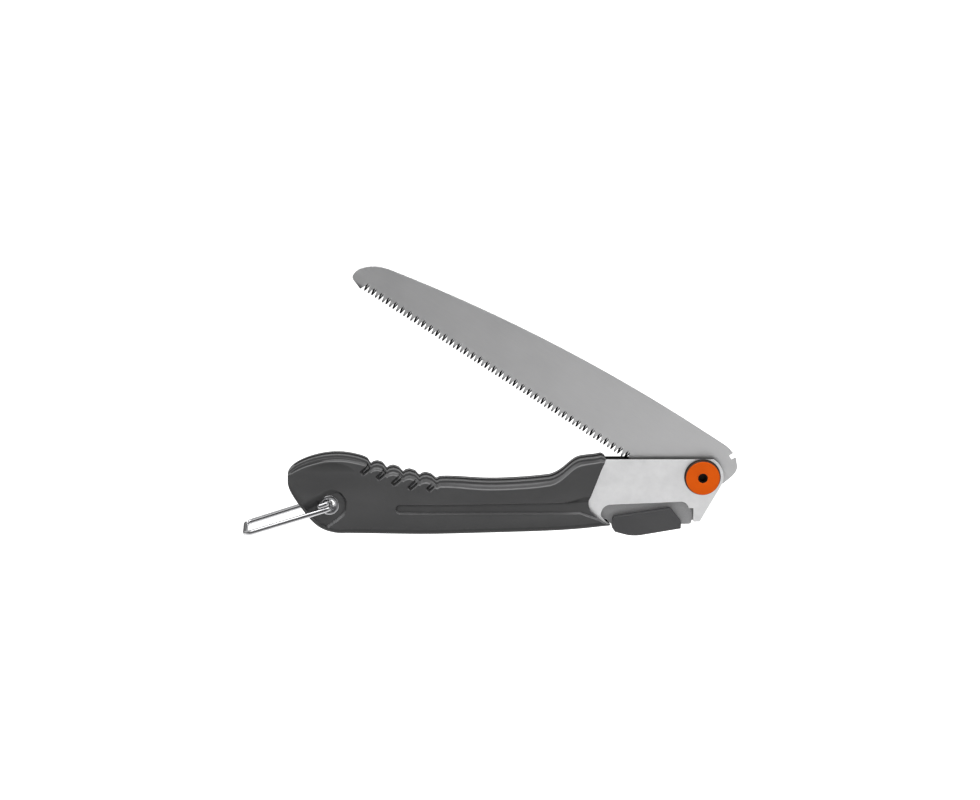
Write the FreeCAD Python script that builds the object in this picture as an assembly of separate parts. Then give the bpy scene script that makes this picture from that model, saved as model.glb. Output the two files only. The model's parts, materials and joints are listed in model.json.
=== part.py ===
"""Folding pruning saw: blade, two-plate head, moulded handle, thumb lock, tension knob, wire loop.

Frame: millimetres, +Z up. The origin is on the blade pivot's axis, in the saw's middle plane.
+X runs from the handle towards the head, and +Y points away from the side that carries the knob.
The parts are drawn with the blade part-way open and the thumb lock pressed (tooth clear of blade).
"""
import FreeCAD, Part
import math
import os

V = FreeCAD.Vector
Y_AXIS = V(0, 1, 0)
SIDES = {"near": -1, "far": 1}

# ---- blade -------------------------------------------------------------------------------------
BLADE_THICK = 1.2
BLADE_ANGLE = 146.7        # direction of the toothed edge as drawn, counter-clockwise from +X
TOOTH_LINE = 16.0          # distance of the tooth points from the pivot
SPINE_LINE = 21.6          # distance of the flat part of the back from the pivot
HEEL_RADIUS = 21.6
TOOTH_PITCH = 2.355
TOOTH_COUNT = 75
TOOTH_HEIGHT = 2.9
SHOULDER_HALF = 0.55       # half-width of a tooth at its shoulders
SHOULDER_DEPTH = 0.8       # how far the shoulders lie behind the point
FIRST_TOOTH = 40.8         # start of the toothed edge along the blade
SPINE_FLAT_END = 13.7      # the back is straight up to here and then one large arc
SPINE_TIP = (210.7, -2.1)
SPINE_RADIUS = 980.0
TANG_RADIUS = 11.2
NOTCH_ANGLE = 32.6         # direction of the lock notch as drawn
NOTCH_WIDTH = 2.8
NOTCH_BOTTOM = 18.9        # distance of the notch's floor from the pivot

# ---- fold and lock motion ------------------------------------------------------------------------
OPEN_SWING = 142.0         # from the drawn pose to fully open, clockwise
BLADE_NOTCH_OPEN = NOTCH_ANGLE - OPEN_SWING    # direction of the lock notch when the saw is open
LOCK_PIVOT = (-31.9, -10.2)
LOCK_SWING = 6.6           # from pressed to locked
LOCK_TOOTH_WIDTH = 2.2
LOCK_TOOTH_TIP = 19.2      # distance of the locked tooth's tip from the pivot
TRUNNION_RADIUS = 2.5
TRUNNION_LENGTH = 1.3

# ---- layers across the saw, measured from the middle plane ---------------------------------------
PLATE_INNER = 2.2
PLATE_THICK = 2.0
PLATE_OUTER = PLATE_INNER + PLATE_THICK
LEVER_HALF = 2.0
LEVER_SLOT_HALF = 0.9
TONGUE_HALF = 1.9
GRIP_HOLE_RADIUS = 1.6     # cross holes in the lever that the moulded button fills
GRIP_HOLES = [(-42.0, -25.0), (-20.0, -22.5)]
BUTTON_HALF = 7.0
CHANNEL_HALF = 2.4
SHELL_HALF = 10.5

# ---- head plates ---------------------------------------------------------------------------------
HEAD_TOP = 10.2
PLATE_BOTTOM = -27.0       # lower edge of the part of each plate that the handle clamps
POCKET_GAP = 0.1           # play between the clamped plates and the handle's pocket
PLATE_REAR = [(-128.0, PLATE_BOTTOM), (-131.0, -24.0), (-131.0, -12.0), (-128.0, -9.0), (-92.0, -6.0),
              (-84.0, -4.0), (-77.0, 1.0), (-70.0, 6.6), (-64.0, HEAD_TOP)]   # clamped part, up to the head
HEAD_RADIUS = 11.9
FOOT_BOTTOM = -25.9
FOOT_FRONT = -0.7
CUT_END_TOP = (-52.2, -15.9)   # where the plate's lower edge turns down at the rear of the thumb opening

# ---- pivot hardware --------------------------------------------------------------------------------
SHANK_RADIUS = 4.0
SHANK_CLEARANCE = 0.05
THREAD_RADIUS = 3.0
KNOB_RADIUS = 9.7
KNOB_HEIGHT = 3.2
KNOB_WASHER_RADIUS = 10.25
KNOB_WASHER_THICK = 0.8
BOLT_HEAD_RADIUS = 7.4
BOLT_HEAD_HEIGHT = 2.0
SOCKET_HOLE_RADIUS = 2.65
HEX_ACROSS = 4.0
THRUST_WASHER_RADIUS = 8.6
SPRING_WASHER_THICK = 1.2
SPRING_WASHER_RADIUS = 6.4
NUT_RADIUS = 7.5
NUT_HEIGHT = 3.0
SPANNER_HOLE_OFFSET = 5.2
SPANNER_HOLE_RADIUS = 0.9
SPANNER_HOLE_DEPTH = 1.8

# ---- handle ----------------------------------------------------------------------------------------
HANDLE_BOTTOM = -31.8
CHANNEL_FLOOR = -19.0
CHANNEL_END = -228.3
SIDE_WIDTHS = [(-240.0, 5.6), (-207.0, 7.0), (-190.0, 7.4), (-176.0, 8.4), (-160.0, 10.0),
               (-152.0, SHELL_HALF), (-80.0, SHELL_HALF), (-66.0, 9.6), (-48.0, 7.2)]  # x, half-thickness
SCREW_PLACES = [(-86.0, -22.5), (-113.0, -22.5), (-143.0, -26.0), (-183.0, -26.0), (-224.0, -9.3)]
SCREW_RADIUS = 1.5
SCREW_HEAD_RADIUS = 2.9
SCREW_HEAD_HEIGHT = 2.0
SCREW_CLEARANCE = 0.1
SCREW_HEAD_SINK = 0.8      # depth of each screw head below the handle's side
CROSS_LONG = 1.8           # half-length and half-width of each bar of the cross recess
CROSS_WIDE = 0.35
RIVET_PLACES = [(-77.0, -20.5), (-99.5, -22.5), (-123.0, -21.0)]
RIVET_RADIUS = 2.0

# ---- hanging eyelet and wire loop --------------------------------------------------------------------
EYELET = (-209.2, -15.4)
EYELET_BORE = 3.25
EYELET_TUBE = 3.9
EYELET_FLANGE = 5.7
EYELET_FLANGE_THICK = 0.8
RECESS_RADIUS = 10.4
RECESS_FLOOR = 5.0
WIRE_RADIUS = 1.5
WIRE_OFFSET = 1.55         # the two wire ends pass through the eyelet side by side
LOOP_ANGLE = 197.3
LOOP_LENGTH = 49.2
LOOP_HALF_NEAR = 8.0       # half-width of the loop beside the eyelet
LOOP_HALF_END = 12.4       # half-width of the loop at its far end
LOOP_CORNER = 3.5
END_ROUND = 1.1            # rounding of the wire's two cut ends


# ---- small helpers -----------------------------------------------------------------------------------
def point(pair, y=0.0):
    """A point in the plane that lies parallel to the saw's sides, at the given y."""
    return V(pair[0], y, pair[1])


def polar(radius, angle):
    """The (x, z) pair at a radius and a counter-clockwise angle about the pivot."""
    turn = math.radians(angle)
    return (radius * math.cos(turn), radius * math.sin(turn))


def line(start, end):
    return Part.makeLine(point(start), point(end))


def polyline(pairs):
    """Straight edges through a list of (x, z) pairs."""
    return [line(a, b) for a, b in zip(pairs, pairs[1:])]


def arc(start, middle, end):
    return Part.Arc(point(start), point(middle), point(end)).toShape()


def arc_about(centre, radius, from_angle, to_angle):
    """A circular edge about a centre, swept from one angle to the other."""
    def at(angle):
        return (centre[0] + polar(radius, angle)[0], centre[1] + polar(radius, angle)[1])
    return arc(at(from_angle), at((from_angle + to_angle) / 2), at(to_angle))


def curve(pairs):
    """One smooth edge through a list of (x, z) pairs."""
    spline = Part.BSplineCurve()
    spline.interpolate([point(p) for p in pairs])
    return spline.toShape()


def slab(edges, y_low, y_high):
    """A solid with the outline given by edges in the side plane, from y_low to y_high."""
    face = Part.Face(Part.Wire(Part.__sortEdges__(edges)))
    solid = face.extrude(V(0, y_high - y_low, 0))
    solid.translate(V(0, y_low, 0))
    return solid


def block(pairs, y_low, y_high):
    """A solid with a straight-sided outline."""
    return slab(polyline(pairs + pairs[:1]), y_low, y_high)


def disc(centre, radius, y_low, y_high):
    """A cylinder across the saw."""
    return Part.makeCylinder(radius, y_high - y_low, point(centre, y_low), Y_AXIS)


def ring(centre, outer, inner, y_low, y_high):
    return disc(centre, outer, y_low, y_high).cut(disc(centre, inner, y_low - 1, y_high + 1))


def layer(side, inner, outer):
    """The y range of a layer that lies between two distances from the middle plane."""
    sign = SIDES[side]
    return min(sign * inner, sign * outer), max(sign * inner, sign * outer)


def turned(shape, centre, angle):
    """A copy turned counter-clockwise, as seen from the near side, about a cross-wise axis."""
    copy = shape.copy()
    copy.rotate(point(centre), V(0, -1, 0), angle)
    return copy


# ---- blade ---------------------------------------------------------------------------------------------
def tooth_edge():
    """The toothed edge in the blade's own axes: u along the edge, v towards the teeth."""
    pairs = [(FIRST_TOOTH, TOOTH_LINE - TOOTH_HEIGHT)]
    for index in range(TOOTH_COUNT):
        start = FIRST_TOOTH + index * TOOTH_PITCH
        centre = start + TOOTH_PITCH / 2
        pairs.append((centre - SHOULDER_HALF, TOOTH_LINE - SHOULDER_DEPTH))
        pairs.append((centre, TOOTH_LINE))
        pairs.append((centre + SHOULDER_HALF, TOOTH_LINE - SHOULDER_DEPTH))
        pairs.append((start + TOOTH_PITCH, TOOTH_LINE - TOOTH_HEIGHT))
    return pairs


def saw_blade():
    teeth = tooth_edge()
    last = teeth[-1]
    own = BLADE_ANGLE
    nose_side = polar(20.6, 14.5 - own)
    nose_end = polar(18.9, 5.0 - own)
    ramp_middle = polar(16.0, -5.6 - own)
    ramp_end = polar(13.3, -19.0 - own)
    toe_corner = (218.8, TOOTH_LINE)
    tang_start = polar(TANG_RADIUS, -36.0 - own)
    tang_end = polar(TANG_RADIUS, -84.0 - own)
    tang_middle = polar(TANG_RADIUS, -60.0 - own)
    ricasso = (6.0, TOOTH_LINE - 0.6)
    spine_start = (SPINE_FLAT_END, -SPINE_LINE)
    half = (SPINE_TIP[0] + spine_start[0]) / 2
    chord = math.dist(spine_start, SPINE_TIP)
    sag = SPINE_RADIUS - math.sqrt(SPINE_RADIUS ** 2 - (chord / 2) ** 2)
    spine_middle = (half, (SPINE_TIP[1] - SPINE_LINE) / 2 - sag)
    edges = polyline(teeth)
    edges += polyline([last, toe_corner, (225.0, 13.8)])
    edges += [curve([(225.0, 13.8), (226.1, 12.6), (226.3, 11.2)])]
    edges += [curve([(226.3, 11.2), (226.0, 8.8), (222.6, 3.8), (216.9, -0.1), SPINE_TIP])]
    edges += [arc(SPINE_TIP, spine_middle, spine_start)]
    edges += [line(spine_start, (0, -HEEL_RADIUS))]
    edges += [arc_about((0, 0), HEEL_RADIUS, -90, -118.2)]
    edges += [line(polar(HEEL_RADIUS, -118.2), nose_side)]
    edges += [curve([nose_side, nose_end, ramp_middle, ramp_end]), line(ramp_end, tang_start)]
    edges += [arc(tang_start, tang_middle, tang_end), line(tang_end, ricasso)]
    edges += [line(ricasso, (FIRST_TOOTH - 1.5, TOOTH_LINE - 0.6))]
    edges += [line((FIRST_TOOTH - 1.5, TOOTH_LINE - 0.6), teeth[0])]
    half_thick = BLADE_THICK / 2
    blade = slab(edges, -half_thick, half_thick)
    blade = blade.cut(disc((0, 0), SHANK_RADIUS + SHANK_CLEARANCE, -half_thick - 1, half_thick + 1))
    blade = turned(blade, (0, 0), BLADE_ANGLE)
    return blade.cut(radial_bar(NOTCH_ANGLE, NOTCH_WIDTH, NOTCH_BOTTOM, HEEL_RADIUS + 4, 2))


def radial_bar(angle, width, inner, outer, half_thick):
    """A straight bar along a ray from the pivot, between two distances."""
    corners = [(inner, -width / 2), (outer, -width / 2), (outer, width / 2), (inner, width / 2)]
    return turned(block(corners, -half_thick, half_thick), (0, 0), angle)


# ---- thumb lock ----------------------------------------------------------------------------------------
def lever_outline():
    """The lever's side outline, pressed: tooth end at the right, spring tail at the left."""
    boss = 4.4
    edges = [curve([(-36.0, -8.6), (LOCK_PIVOT[0], LOCK_PIVOT[1] + boss), (-27.5, -8.4)])]
    edges += polyline([(-27.5, -8.4), (-14.0, -12.4), (-9.6, -13.6), (-7.3, -18.3), (-5.5, -20.2)])
    edges += polyline([(-5.5, -20.2), (-5.5, -26.0)])
    edges += [arc((-5.5, -26.0), (-6.0, -27.2), (-7.2, -27.7))]
    edges += polyline([(-7.2, -27.7), (-50.0, -27.7), (-51.0, -27.4), (-51.9, -26.5), (-53.5, -24.7)])
    edges += [arc((-53.5, -24.7), (-55.5, -24.0), (-56.8, -22.7))]
    edges += polyline([(-56.8, -22.7), (-68.0, -22.7), (-68.0, -20.5), (-57.4, -20.5)])
    edges += [arc((-57.4, -20.5), (-56.3, -16.6), (-53.4, -14.4))]
    edges += polyline([(-53.4, -14.4), (-36.0, -8.6)])
    return edges


def lever_slot():
    """The room between the lever's two cheeks, where the blade's heel and teeth pass."""
    pairs = [(-60.0, 0.0), (-60.0, -18.4), (-17.0, -18.4), (-13.0, -24.4), (-3.0, -24.4), (-3.0, 0.0)]
    return block(pairs, -LEVER_SLOT_HALF, LEVER_SLOT_HALF)


def lever_tooth():
    """The locking tooth, drawn where it sits when locked and then turned back to pressed."""
    locked = radial_bar(BLADE_NOTCH_OPEN, LOCK_TOOTH_WIDTH, LOCK_TOOTH_TIP, 30.0, LEVER_SLOT_HALF)
    return turned(locked, LOCK_PIVOT, -LOCK_SWING)


def lever_tongues():
    """Two thin tongues that close the gap behind the plates' feet; the blade's heel passes between them."""
    pairs = [(-8.5, -17.0), (-3.6, -17.0), (-3.6, -25.4), (-6.5, -25.4)]
    tongues = block(pairs, -TONGUE_HALF, TONGUE_HALF)
    return tongues.cut(block(pairs, -LEVER_SLOT_HALF, LEVER_SLOT_HALF))


def lever_anchor_holes():
    """Two cross holes that the moulded button grips through."""
    holes = [disc(place, GRIP_HOLE_RADIUS, -LEVER_HALF - 1, LEVER_HALF + 1) for place in GRIP_HOLES]
    return holes[0].fuse(holes[1])


def lock_lever():
    body = slab(lever_outline(), -LEVER_HALF, LEVER_HALF)
    tooth = lever_tooth().common(body)
    body = body.cut(lever_slot()).fuse([tooth, lever_tongues()]).removeSplitter()
    reach = LEVER_HALF + TRUNNION_LENGTH
    trunnions = disc(LOCK_PIVOT, TRUNNION_RADIUS, -reach, reach)
    trunnions = trunnions.cut(disc(LOCK_PIVOT, 5.0, -LEVER_SLOT_HALF, LEVER_SLOT_HALF))
    return body.fuse(trunnions).cut(lever_anchor_holes()).removeSplitter()


def lock_button():
    outline = polyline([(-49.4, -22.4), (-19.4, -17.9)])
    outline += [arc((-19.4, -17.9), (-18.0, -17.9), (-17.0, -18.7))]
    outline += polyline([(-17.0, -18.7), (-11.8, -25.4), (-11.9, -29.1), (-33.4, -32.7)])
    outline += [arc((-33.4, -32.7), (-38.5, -33.1), (-43.5, -32.4))]
    outline += polyline([(-43.5, -32.4), (-48.9, -30.9), (-50.6, -28.6), (-50.4, -24.0), (-49.4, -22.4)])
    body = slab(outline, -BUTTON_HALF, BUTTON_HALF)
    solid_lever = slab(lever_outline(), -LEVER_HALF, LEVER_HALF)
    grip = lever_anchor_holes().common(disc((-31.0, -24.0), 20.0, -LEVER_HALF, LEVER_HALF))
    return body.cut(solid_lever).fuse(grip.common(body)).removeSplitter()


def lock_spring():
    """Compression spring between the spacer's nose and the lever's tail, drawn compressed."""
    wire = 0.25
    coil = 1.45
    bottom = -20.5 + wire
    top = -16.2 - wire
    turns = 5.5
    helix = Part.makeHelix((top - bottom) / turns, top - bottom, coil)
    profile = Part.Wire(Part.makeCircle(wire, V(coil, 0, 0), V(0, 1, 0)))
    spring = Part.Wire(helix).makePipeShell([profile], True, True)
    spring.translate(V(-63.5, 0, bottom))
    return spring


# ---- head plates and what lies between them -----------------------------------------------------------
def plate_outline():
    """Head, foot and the tang that is clamped inside the handle."""
    front_low = (HEAD_RADIUS * math.cos(math.radians(-29)), HEAD_RADIUS * math.sin(math.radians(-29)))
    top_angle = math.degrees(math.asin(HEAD_TOP / HEAD_RADIUS))
    edges = [arc_about((0, 0), HEAD_RADIUS, top_angle, -29)]
    edges += polyline([front_low, (FOOT_FRONT, FOOT_BOTTOM + 0.6), (FOOT_FRONT - 0.6, FOOT_BOTTOM)])
    edges += polyline([(FOOT_FRONT - 0.6, FOOT_BOTTOM), (-4.8, FOOT_BOTTOM), (-4.8, -18.0), (-7.4, -18.0)])
    edges += [arc((-7.4, -18.0), (-8.6, -15.6), (-11.5, -14.3))]
    edges += [line((-11.5, -14.3), CUT_END_TOP)]
    edges += [arc(CUT_END_TOP, (-55.9, -18.4), (-56.6, -22.6))]
    edges += polyline([(-56.6, -22.6), (-53.6, -25.9), (-51.6, PLATE_BOTTOM), (-128.0, PLATE_BOTTOM)])
    edges += polyline(PLATE_REAR)
    edges += [line(PLATE_REAR[-1], (HEAD_RADIUS * math.cos(math.radians(top_angle)), HEAD_TOP))]
    return edges


def side_plate(side):
    low, high = layer(side, PLATE_INNER, PLATE_OUTER)
    plate = slab(plate_outline(), low, high)
    plate = plate.cut(disc((0, 0), SHANK_RADIUS + SHANK_CLEARANCE, low - 1, high + 1))
    socket = layer(side, 0, LEVER_HALF + TRUNNION_LENGTH + 0.1)
    plate = plate.cut(disc(LOCK_PIVOT, TRUNNION_RADIUS + 0.05, socket[0], socket[1]))
    for place in RIVET_PLACES:
        plate = plate.cut(disc(place, RIVET_RADIUS, low - 1, high + 1))
    for place in SCREW_PLACES[:2]:
        plate = plate.cut(disc(place, SCREW_RADIUS + SCREW_CLEARANCE, low - 1, high + 1))
    return plate


def spacer_bar():
    """Holds the plates apart below the blade channel; its nose is the lock spring's seat."""
    pairs = [(-58.6, -14.6), (-58.6, -16.2), (-70.6, -16.2), (-70.6, -26.4), (-127.0, -26.4)]
    pairs += [(-127.0, -19.0), (-76.0, -17.0), (-73.0, -14.6)]
    bar = block(pairs, -PLATE_INNER, PLATE_INNER)
    for place in RIVET_PLACES:
        bar = bar.cut(disc(place, RIVET_RADIUS, -PLATE_INNER - 1, PLATE_INNER + 1))
    for place in SCREW_PLACES[:2]:
        bar = bar.cut(disc(place, SCREW_RADIUS + SCREW_CLEARANCE, -PLATE_INNER - 1, PLATE_INNER + 1))
    return bar


def frame_rivets():
    """Flush rivets through both plates and the spacer."""
    rivets = [disc(place, RIVET_RADIUS, -PLATE_OUTER, PLATE_OUTER) for place in RIVET_PLACES]
    return Part.makeCompound(rivets)


# ---- pivot hardware ------------------------------------------------------------------------------------
def pivot_bolt():
    """Shouldered bolt: the shank carries the blade, the socket faces the near side."""
    seat = -PLATE_OUTER - KNOB_WASHER_THICK
    head_top = seat - BOLT_HEAD_HEIGHT
    nut_end = PLATE_OUTER + SPRING_WASHER_THICK + NUT_HEIGHT - 0.4
    bolt = disc((0, 0), BOLT_HEAD_RADIUS, head_top, seat)
    bolt = bolt.fuse(disc((0, 0), SHANK_RADIUS, seat, PLATE_OUTER))
    bolt = bolt.fuse(disc((0, 0), THREAD_RADIUS, PLATE_OUTER, nut_end)).removeSplitter()
    corner = HEX_ACROSS / 2 / math.cos(math.radians(30))
    hexagon = [polar(corner, 60 * index + 30) for index in range(6)]
    return bolt.cut(block(hexagon, head_top - 1, head_top + 2.6))


def tension_knob():
    """Round cap over the bolt head, with a rounded rim and a hole down to the socket."""
    seat = -PLATE_OUTER - KNOB_WASHER_THICK
    face = seat - KNOB_HEIGHT
    knob = disc((0, 0), KNOB_RADIUS, face, seat)
    rim = [edge for edge in knob.Edges if abs(edge.BoundBox.YMax - face) < 0.01 and edge.Closed]
    knob = knob.makeFillet(0.8, rim[:1])
    knob = knob.cut(disc((0, 0), BOLT_HEAD_RADIUS + 0.05, seat - BOLT_HEAD_HEIGHT, seat + 1))
    return knob.cut(disc((0, 0), SOCKET_HOLE_RADIUS, face - 1, seat))


def knob_washer():
    low = -PLATE_OUTER - KNOB_WASHER_THICK
    return ring((0, 0), KNOB_WASHER_RADIUS, SHANK_RADIUS + SHANK_CLEARANCE, low, -PLATE_OUTER)


def thrust_washer(side):
    """Low-friction washer between the blade and one plate."""
    low, high = layer(side, BLADE_THICK / 2 + 0.02, PLATE_INNER)
    return ring((0, 0), THRUST_WASHER_RADIUS, SHANK_RADIUS + SHANK_CLEARANCE, low, high)


def spring_washer():
    top = PLATE_OUTER + SPRING_WASHER_THICK
    return ring((0, 0), SPRING_WASHER_RADIUS, THREAD_RADIUS + 0.2, PLATE_OUTER, top)


def pivot_nut():
    """Low round nut with two spanner holes, on the far side."""
    low = PLATE_OUTER + SPRING_WASHER_THICK
    nut = ring((0, 0), NUT_RADIUS, THREAD_RADIUS + SHANK_CLEARANCE, low, low + NUT_HEIGHT)
    around = 2 * math.pi * NUT_RADIUS
    outer = [edge for edge in nut.Edges if edge.Closed and abs(edge.Length - around) < 0.1]
    top = [edge for edge in outer if abs(edge.BoundBox.YMin - low - NUT_HEIGHT) < 0.01]
    nut = nut.makeFillet(0.6, top)
    for angle in (0, 180):
        nut = nut.cut(disc(polar(SPANNER_HOLE_OFFSET, angle), SPANNER_HOLE_RADIUS,
                           low + NUT_HEIGHT - SPANNER_HOLE_DEPTH, low + NUT_HEIGHT + 1))
    return nut


# ---- handle ------------------------------------------------------------------------------------------
GRIP_VALLEYS = [(-185.9, 6.5), (-176.9, 3.9), (-167.8, 1.7), (-158.6, -0.3), (-149.2, -2.1)]
BUMP = [(1.3, 1.2), (3.6, 1.7), (6.7, 0.7)]      # points of one finger bump, from the valley before it


def handle_outline():
    """Heel, finger side with its grip bumps, waist, front shoulder, V front and straight back."""
    edges = [curve([(-200.0, HANDLE_BOTTOM), (-208.0, -31.2), (-215.5, -28.0), (-221.5, -22.0),
                    (-227.9, -13.2), (-231.8, -6.0), (-232.8, -0.5)])]
    heel_end = (-187.6, 9.7)
    waist_start = (-147.2, -1.0)
    edges += [curve([(-232.8, -0.5), (-231.5, 4.0), (-226.3, 8.3), (-217.0, 11.9), (-207.0, 13.5),
                     (-199.5, 13.2), (-193.5, 12.0), (-190.0, 10.9), heel_end])]
    edges += [line(heel_end, GRIP_VALLEYS[0])]
    for valley, after in zip(GRIP_VALLEYS, GRIP_VALLEYS[1:]):
        edges += polyline([valley] + [(valley[0] + dx, valley[1] + dz) for dx, dz in BUMP] + [after])
    edges += [line(GRIP_VALLEYS[-1], waist_start)]
    edges += [curve([waist_start, (-143.5, -0.9), (-124.0, -2.0), (-106.0, -1.8), (-88.0, -0.3)])]
    edges += [curve([(-88.0, -0.3), (-82.5, 1.1), (-78.0, 4.0), (-74.0, 7.5), (-70.2, 10.0),
                     (-65.0, 11.1), (-57.0, 12.3)])]
    edges += polyline([(-57.0, 12.3), (-54.2, 11.2), (-63.1, -10.1)])
    edges += [arc((-63.1, -10.1), (-64.0, -14.2), (-61.6, -18.9))]
    edges += polyline([(-61.6, -18.9), (-56.4, -24.6), (-51.4, -27.7)])
    edges += [curve([(-51.4, -27.7), (-79.0, -29.7), (-115.0, -30.9), (-150.0, -31.7),
                     (-200.0, HANDLE_BOTTOM)])]
    return edges


def thickness_envelope(sign):
    """Everything nearer the middle plane than the handle's side, seen from above."""
    pairs = [(-240.0, 0.0)] + SIDE_WIDTHS + [(-48.0, 0.0)]
    corners = [V(x, sign * y, -40.0) for x, y in pairs]
    face = Part.Face(Part.makePolygon(corners + corners[:1]))
    return face.extrude(V(0, 0, 70.0))


def blade_channel():
    """The slot that takes the folded blade; its floor rises under the blade's toe."""
    pairs = [(-40.0, 30.0), (-40.0, CHANNEL_FLOOR), (-192.0, CHANNEL_FLOOR), (-203.0, -10.3)]
    pairs += [(-218.0, -8.4), (CHANNEL_END, -5.2), (CHANNEL_END, 30.0)]
    return block(pairs, -CHANNEL_HALF, CHANNEL_HALF)


def plate_pocket():
    """Room for the two plates, the spacer, the spring and the lever's tail."""
    floor = PLATE_BOTTOM - POCKET_GAP
    pairs = [(-40.0, floor), (PLATE_REAR[0][0] - POCKET_GAP, floor)]
    pairs += [(PLATE_REAR[1][0] - POCKET_GAP, PLATE_REAR[1][1] - POCKET_GAP)]
    pairs += [(x - POCKET_GAP, z + POCKET_GAP) for x, z in PLATE_REAR[2:]]
    pairs += [(-40.0, HEAD_TOP + POCKET_GAP)]
    return block(pairs, -PLATE_OUTER, PLATE_OUTER)


def handle_shell(side):
    sign = SIDES[side]
    low, high = layer(side, 0, SHELL_HALF + 2)
    shell = slab(handle_outline(), low, high).common(thickness_envelope(sign))
    recess = layer(side, RECESS_FLOOR, SHELL_HALF + 3)
    shell = shell.cut(disc(EYELET, RECESS_RADIUS, recess[0], recess[1]))
    shell = shell.cut(disc(EYELET, EYELET_TUBE, low - 1, high + 1))
    shell = shell.cut(blade_channel()).cut(plate_pocket())
    for place in SCREW_PLACES:
        shell = shell.cut(screw_room(place, side))
    return shell


def shell_side(x):
    """Distance of the handle's side from the middle plane at a place along the handle."""
    for (x_low, y_low), (x_high, y_high) in zip(SIDE_WIDTHS, SIDE_WIDTHS[1:]):
        if x_low <= x <= x_high:
            return y_low + (y_high - y_low) * (x - x_low) / (x_high - x_low)


def screw_room(place, side):
    """Pilot hole in the near shell; clearance hole and head recess in the far shell."""
    if side == "near":
        return disc(place, SCREW_RADIUS + 0.05, -shell_side(place[0]) + 2.0, 1)
    seat = shell_side(place[0]) - SCREW_HEAD_HEIGHT - SCREW_HEAD_SINK
    hole = disc(place, SCREW_RADIUS + SCREW_CLEARANCE, -1, seat + 1)
    return hole.fuse(disc(place, SCREW_HEAD_RADIUS + 0.2, seat, seat + 8))


def shell_screws():
    """Cross-recessed screws, put in from the far side."""
    screws = []
    for place in SCREW_PLACES:
        seat = shell_side(place[0]) - SCREW_HEAD_HEIGHT - SCREW_HEAD_SINK
        screw = disc(place, SCREW_RADIUS, -shell_side(place[0]) + 2.4, seat)
        screw = screw.fuse(disc(place, SCREW_HEAD_RADIUS, seat, seat + SCREW_HEAD_HEIGHT)).removeSplitter()
        for size in ((CROSS_LONG, CROSS_WIDE), (CROSS_WIDE, CROSS_LONG)):
            cross = [(place[0] + sx * size[0], place[1] + sz * size[1])
                     for sx, sz in ((-1, -1), (1, -1), (1, 1), (-1, 1))]
            screw = screw.cut(block(cross, seat + 1.0, seat + SCREW_HEAD_HEIGHT + 1))
        screws.append(screw)
    return Part.makeCompound(screws)


# ---- hanging eyelet and loop --------------------------------------------------------------------------
def hang_eyelet():
    """Tubular rivet, flared over both shells."""
    reach = RECESS_FLOOR + EYELET_FLANGE_THICK
    tube = disc(EYELET, EYELET_TUBE, -reach, reach)
    for side in SIDES:
        low, high = layer(side, RECESS_FLOOR, reach)
        tube = tube.fuse(disc(EYELET, EYELET_FLANGE, low, high))
    return tube.removeSplitter().cut(disc(EYELET, EYELET_BORE, -reach - 1, reach + 1))


def hang_loop():
    """One bent wire: both ends pass through the eyelet and turn back as short, round-ended hooks."""
    tail = 6.4
    bend = 2.6
    inner = LOOP_HALF_NEAR
    slope = (LOOP_HALF_END - LOOP_HALF_NEAR) / LOOP_LENGTH

    def strand(sign):
        """From the hook on the other side, through the eyelet, along one leg to its corner."""
        return [V(tail, -sign * WIRE_OFFSET, sign * (inner + 0.2)), V(0, -sign * WIRE_OFFSET, sign * inner),
                V(0, -sign * WIRE_OFFSET, -sign * inner),
                V(LOOP_LENGTH, -sign * 0.2, -sign * (inner + slope * LOOP_LENGTH))]

    path = strand(1) + list(reversed(strand(-1)))
    wire = rounded_path(path, [bend, bend, LOOP_CORNER, LOOP_CORNER, bend, bend])
    start = path[0]
    direction = path[1] - path[0]
    profile = Part.Wire(Part.makeCircle(WIRE_RADIUS, start, direction))
    loop = wire.makePipeShell([profile], True, False)
    ends = [edge for edge in loop.Edges if edge.Closed
            and min((edge.CenterOfMass - path[0]).Length, (edge.CenterOfMass - path[-1]).Length) < 0.1]
    loop = loop.makeFillet(END_ROUND, ends)
    loop.rotate(V(0, 0, 0), V(1, 0, 0), 90)
    loop.rotate(V(0, 0, 0), V(0, -1, 0), LOOP_ANGLE)
    loop.translate(point(EYELET))
    return loop


def rounded_path(points, radii):
    """A wire through the points, with each inner corner replaced by an arc of the given radius."""
    edges = []
    start = points[0]
    for before, corner, after, radius in zip(points, points[1:], points[2:], radii):
        back = (before - corner).normalize()
        ahead = (after - corner).normalize()
        half_turn = back.getAngle(ahead) / 2
        reach = radius / math.tan(half_turn)
        first = corner + back * reach
        last = corner + ahead * reach
        bisector = (back + ahead).normalize()
        middle = corner + bisector * (radius / math.sin(half_turn) - radius)
        edges.append(Part.makeLine(start, first))
        edges.append(Part.Arc(first, middle, last).toShape())
        start = last
    edges.append(Part.makeLine(start, points[-1]))
    return Part.Wire(edges)


PARTS = {
    "saw_blade": saw_blade,
    "lock_lever": lock_lever,
    "lock_button": lock_button,
    "lock_spring": lock_spring,
    "side_plate_near": lambda: side_plate("near"),
    "side_plate_far": lambda: side_plate("far"),
    "spacer_bar": spacer_bar,
    "frame_rivets": frame_rivets,
    "pivot_bolt": pivot_bolt,
    "tension_knob": tension_knob,
    "knob_washer": knob_washer,
    "thrust_washer_near": lambda: thrust_washer("near"),
    "thrust_washer_far": lambda: thrust_washer("far"),
    "spring_washer": spring_washer,
    "pivot_nut": pivot_nut,
    "handle_shell_near": lambda: handle_shell("near"),
    "handle_shell_far": lambda: handle_shell("far"),
    "shell_screws": shell_screws,
    "hang_eyelet": hang_eyelet,
    "hang_loop": hang_loop,
}

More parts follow.
